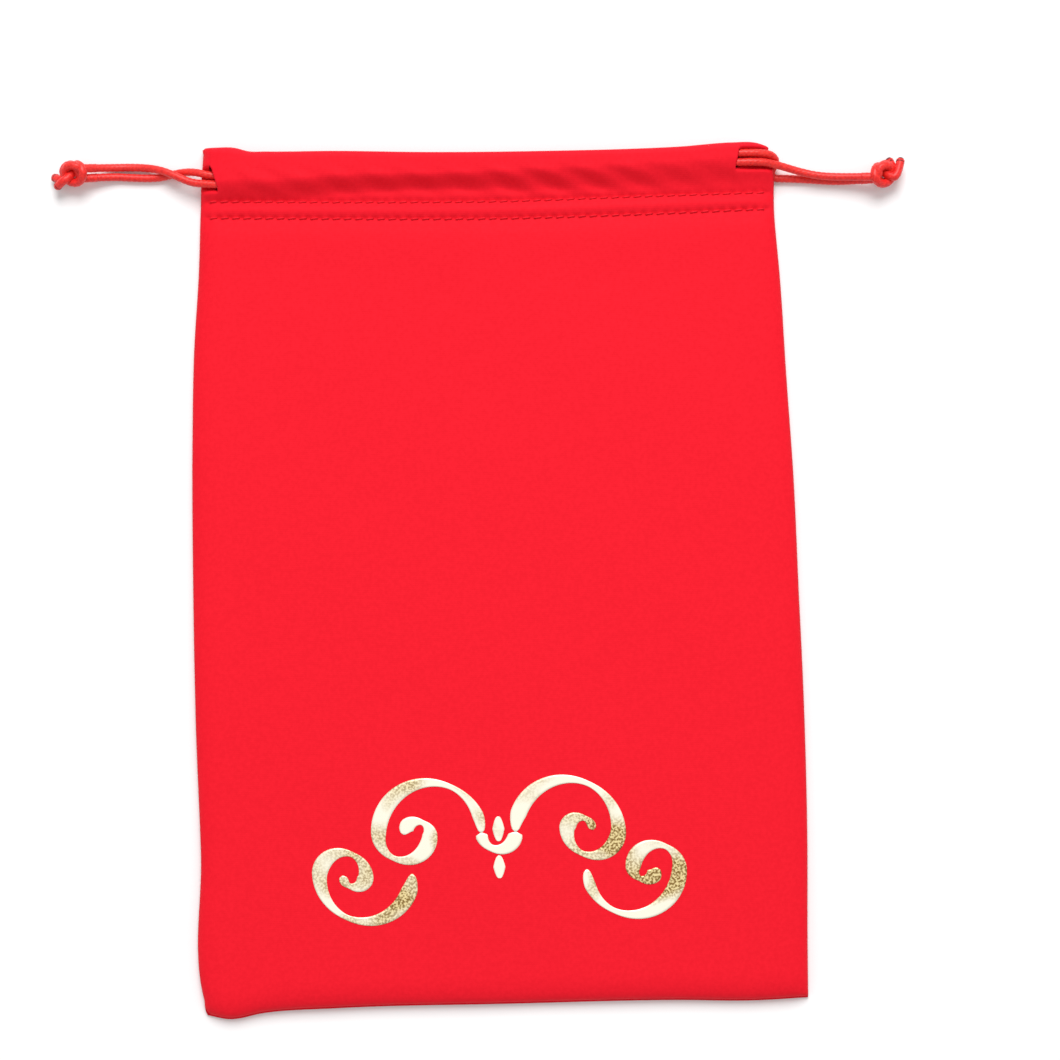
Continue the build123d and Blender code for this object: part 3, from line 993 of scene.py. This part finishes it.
# %% A stroke that curls in
FOIL_MIDDLE = (-1.4, -78.7)


def curl(x, y, radius, start, sweep, turns=3, share=0.5):
    """Points of a stroke that curls in."""
    line = []
    for _ in range(turns):
        angle = np.radians(np.linspace(start, start + sweep, max(24, int(radius * 4))))
        line.append(np.stack([x + radius * np.cos(angle), y + radius * np.sin(angle)], axis=1))
        start += sweep
        x += radius * (1 - share) * math.cos(math.radians(start))
        y += radius * (1 - share) * math.sin(math.radians(start))
        radius *= share
    return np.vstack(line)


# %% A pen stroke
PEN = np.array([0.45, 0.89])    # the direction in which the pen is broad
PEN_LANES = 7
FILM_TOP = 0.13
FILM_BASE = -0.02
POINTED = 0.12          # width at the very ends, as a share


def film_faces(tall, wide):
    """Faces of a closed film from its two layers of points: top, base and the wall between."""
    index = np.arange(tall * wide).reshape(tall, wide)
    quads = np.stack([index[:-1, :-1], index[:-1, 1:], index[1:, 1:], index[1:, :-1]], axis=-1)
    upper = quads.reshape(-1, 4)[:, ::-1]
    lower = quads.reshape(-1, 4) + tall * wide
    rim = np.concatenate([index[:, 0], index[-1, 1:], index[:-1, -1][::-1], index[0, 1:-1][::-1]])
    after = np.roll(rim, -1)
    wall = np.stack([rim, rim + tall * wide, after + tall * wide, after], axis=-1)
    return np.vstack([upper, lower, wall]).tolist()


def pen_stroke(name, line, widest, thinnest, ends=(0.06, 0.05)):
    """A flat film along a plan line: broad where the line runs down to the left, thin across it."""
    gaps = np.linalg.norm(np.diff(line, axis=0), axis=1)
    line = line[np.concatenate([[True], gaps > 0.01])]
    along = np.gradient(line, axis=0)
    along /= np.linalg.norm(along, axis=1)[:, None]
    across = np.stack([-along[:, 1], along[:, 0]], axis=1)
    t = np.linspace(0, 1, len(line))
    pen = np.abs(along @ PEN)
    taper = np.minimum(1, np.minimum(t / ends[0], (1 - t) / ends[1])) ** 0.5
    width = (thinnest + (widest - thinnest) * pen**1.5) * (POINTED + 0.88 * taper)
    lanes = np.linspace(-0.5, 0.5, PEN_LANES)
    plan = line[:, None, :] + across[:, None, :] * (width[:, None] * lanes)[..., None] + FOIL_MIDDLE
    x, y = plan[..., 0], plan[..., 1]
    z = front_height(x, y, below_at(x, y))
    top = np.stack([x, y, z + FILM_TOP], axis=-1).reshape(-1, 3)
    base = np.stack([x, y, z + FILM_BASE], axis=-1).reshape(-1, 3)
    piece = new_piece(name, np.vstack([top, base]), film_faces(*x.shape), FOIL)
    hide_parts("foil_motif")
    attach(piece, "pouch")
    return piece


# %% The ornament
LEAVES = (("bud", 8.6, 1.4), ("drop", -2.8, -9.4))      # name, upper end and lower end
LEAF_POINTS = 40
VOLUTES = (("inner", (20, 4, 15, 180, -180)), ("outer", (39, -7.5, 13.5, 180, 180)))

cup = curl(0, 4, 5, 180, 180, turns=1)
strokes = [pen_stroke("foil_cup", cup, 4.4, 2.0)]
for label, high, low in LEAVES:
    leaf = np.stack([np.zeros(LEAF_POINTS), np.linspace(high, low, LEAF_POINTS)], axis=1)
    strokes.append(pen_stroke(f"foil_{label}", leaf, 3.8, 2.0, (0.5, 0.5)))
for side, sign in SIDES:
    for label, values in VOLUTES:
        line = curl(*values) * (sign, 1)
        strokes.append(pen_stroke(f"foil_{label}_volute_{side}", line, 4.8, 1.5))
print("foil", len(strokes), "strokes")

# %% [markdown]
# ## What moves
#
# Pulling the cords draws each half of the mouth in towards the middle. The cloth, the casing's
# stitches and the side seams have their placing baked into their meshes, and the short seams above
# the cord openings go with their half of the mouth. Tails, loops and knots ride with their cord.

# %% Bodies
for half in front_halves + back_halves:
    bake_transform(half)
for piece, side in casing_rows + seams:
    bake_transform(piece)
for piece, side in corner_seams:
    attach(piece, f"{side}_mouth")

# %% [markdown]
# ### Cords and cloth
#
# The tails are gone through with their lengths, and the side that each is on is read from its name.

# %% Cords and cloth
for name, (piece, line, length) in tails.items():
    side = name.split("_")[0]
